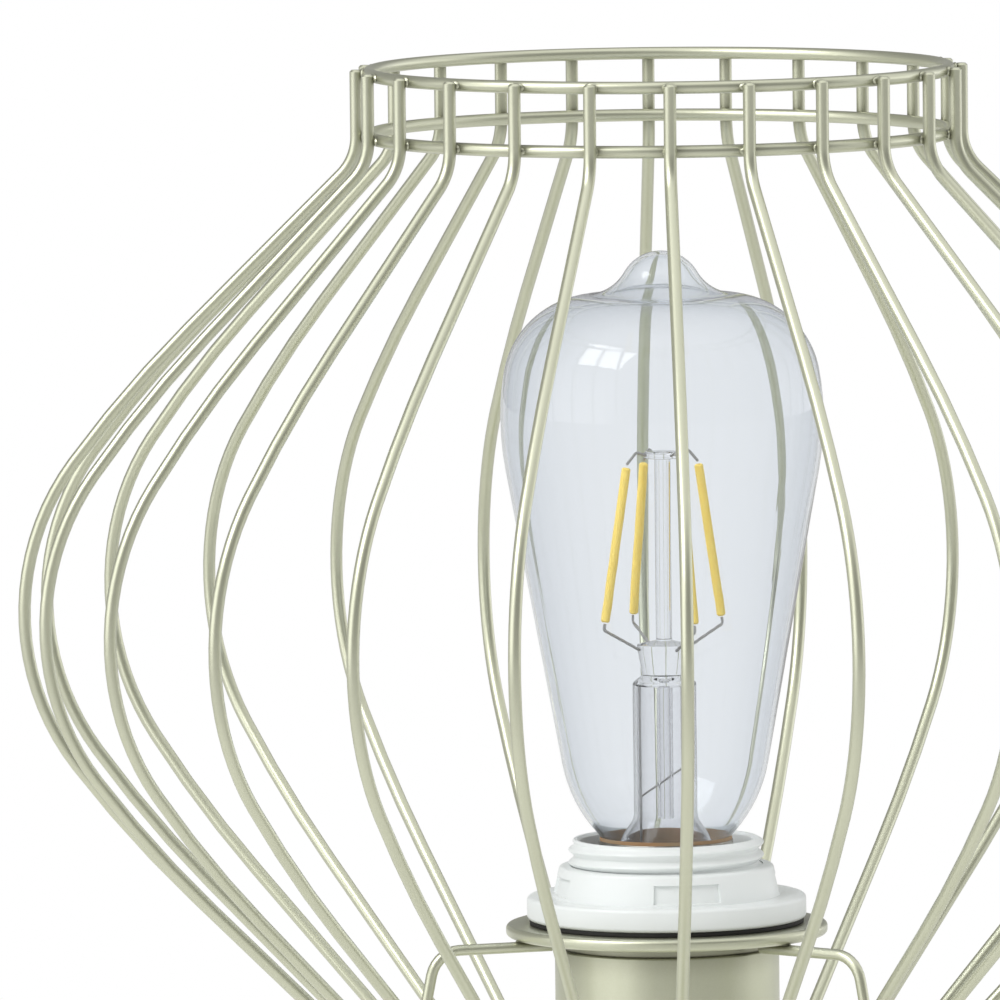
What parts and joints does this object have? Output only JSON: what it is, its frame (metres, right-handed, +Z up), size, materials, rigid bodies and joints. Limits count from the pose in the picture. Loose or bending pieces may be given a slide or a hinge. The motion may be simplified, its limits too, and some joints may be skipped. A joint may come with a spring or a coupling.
{
  "type": "table lamp",
  "caption": "Table lamp with a bowed wire lantern cage round a screw-base filament bulb, clamped to a lampholder above a cup, a slim stem and a weighted round base.",
  "frame": {"origin": "on the table under the lamp's axis, at the underside of the base pad", "axes": "+Z up along the stem, -Y to the front, +X to the right seen from the front"},
  "size_m": [0.2554, 0.2554, 0.38],
  "materials": {
    "champagne_paint": "satin metallic champagne lacquer",
    "white_plastic": "moulded, semi-gloss",
    "black_fibre": "pressed fibre",
    "clear_glass": "clear, faint cool tint",
    "phosphor": "silicone with yellow phosphor",
    "support_wire": "drawn nickel wire",
    "shell_brass": "rolled brass",
    "cap_nickel": "nickel plated",
    "black_glass": "fused black glass",
    "steatite": "unglazed",
    "zinc_steel": "zinc plated",
    "cast_iron": "as cast",
    "felt_pad": "pressed felt",
    "pale_grommet": "moulded",
    "terminal_plastic": "moulded",
    "lead_sleeve": "extruded insulation",
    "driver_board": "resin board"
  },
  "bodies": {
    "lamp": {"base_cover": "champagne_paint", "base_nut": "zinc_steel", "base_pad": "felt_pad", "base_washer": "zinc_steel", "base_weight": "cast_iron", "centre_contact": "shell_brass", "cord_gland": "pale_grommet", "cup": "champagne_paint", "cup_nut": "zinc_steel", "holder_base": "white_plastic", "holder_insert": "steatite", "holder_sleeve": "white_plastic", "inner_leads": "lead_sleeve", "screw_shell": "shell_brass", "stem_tube": "champagne_paint", "terminal_block": "terminal_plastic", "terminal_screws": "zinc_steel", "through_rod": "zinc_steel"},
    "shade": {"cage_wire_01": "champagne_paint", "cage_wire_02": "champagne_paint", "cage_wire_03": "champagne_paint", "cage_wire_04": "champagne_paint", "cage_wire_05": "champagne_paint", "cage_wire_06": "champagne_paint", "cage_wire_07": "champagne_paint", "cage_wire_08": "champagne_paint", "cage_wire_09": "champagne_paint", "cage_wire_10": "champagne_paint", "cage_wire_11": "champagne_paint", "cage_wire_12": "champagne_paint", "cage_wire_13": "champagne_paint", "cage_wire_14": "champagne_paint", "cage_wire_15": "champagne_paint", "cage_wire_16": "champagne_paint", "cage_wire_17": "champagne_paint", "cage_wire_18": "champagne_paint", "cage_wire_19": "champagne_paint", "cage_wire_20": "champagne_paint", "cage_wire_21": "champagne_paint", "cage_wire_22": "champagne_paint", "cage_wire_23": "champagne_paint", "cage_wire_24": "champagne_paint", "cage_top_ring": "champagne_paint", "cage_collar_ring": "champagne_paint", "cage_bottom_ring": "champagne_paint", "fitter_ring": "champagne_paint", "fitter_arm_1": "champagne_paint", "fitter_arm_2": "champagne_paint", "fitter_arm_3": "champagne_paint"},
    "clamp_washer": {"clamp_washer": "black_fibre"},
    "shade_ring": {"shade_ring": "white_plastic"},
    "bulb_foot": {"cap_insulator": "black_glass", "tip_contact": "zinc_steel"},
    "bulb": {"bulb_cap": "cap_nickel", "bulb_glass": "clear_glass", "bulb_stem": "clear_glass", "led_filaments": "phosphor", "filament_wires": "support_wire", "driver_board": "driver_board"}
  },
  "joints": [
    {"name": "shade_turn", "type": "hinge", "parent": "lamp", "child": "shade", "pos_m": [0, 0, 0.2], "axis": [0, 0, 1], "continuous": true},
    {"name": "ring_turn", "type": "hinge", "parent": "lamp", "child": "clamp_washer", "pos_m": [0, 0, 0.21], "axis": [0, 0, 1], "range_deg": [0, 1620]},
    {"name": "ring_rise", "type": "slide", "parent": "clamp_washer", "child": "shade_ring", "axis": [0, 0, 1], "range_m": [0, 0.01135]},
    {"name": "bulb_lift", "type": "slide", "parent": "lamp", "child": "bulb_foot", "axis": [0, 0, 1], "range_m": [0, 0.01825]},
    {"name": "bulb_turn", "type": "hinge", "parent": "bulb_foot", "child": "bulb", "pos_m": [0, 0, 0.21], "axis": [0, 0, 1], "range_deg": [0, 1800]}
  ],
  "couplings": [
    {"joint": "ring_rise", "follows": "ring_turn", "m_per_rad": 0.00039789},
    {"joint": "bulb_lift", "follows": "bulb_turn", "m_per_rad": 0.00057757}
  ]
}
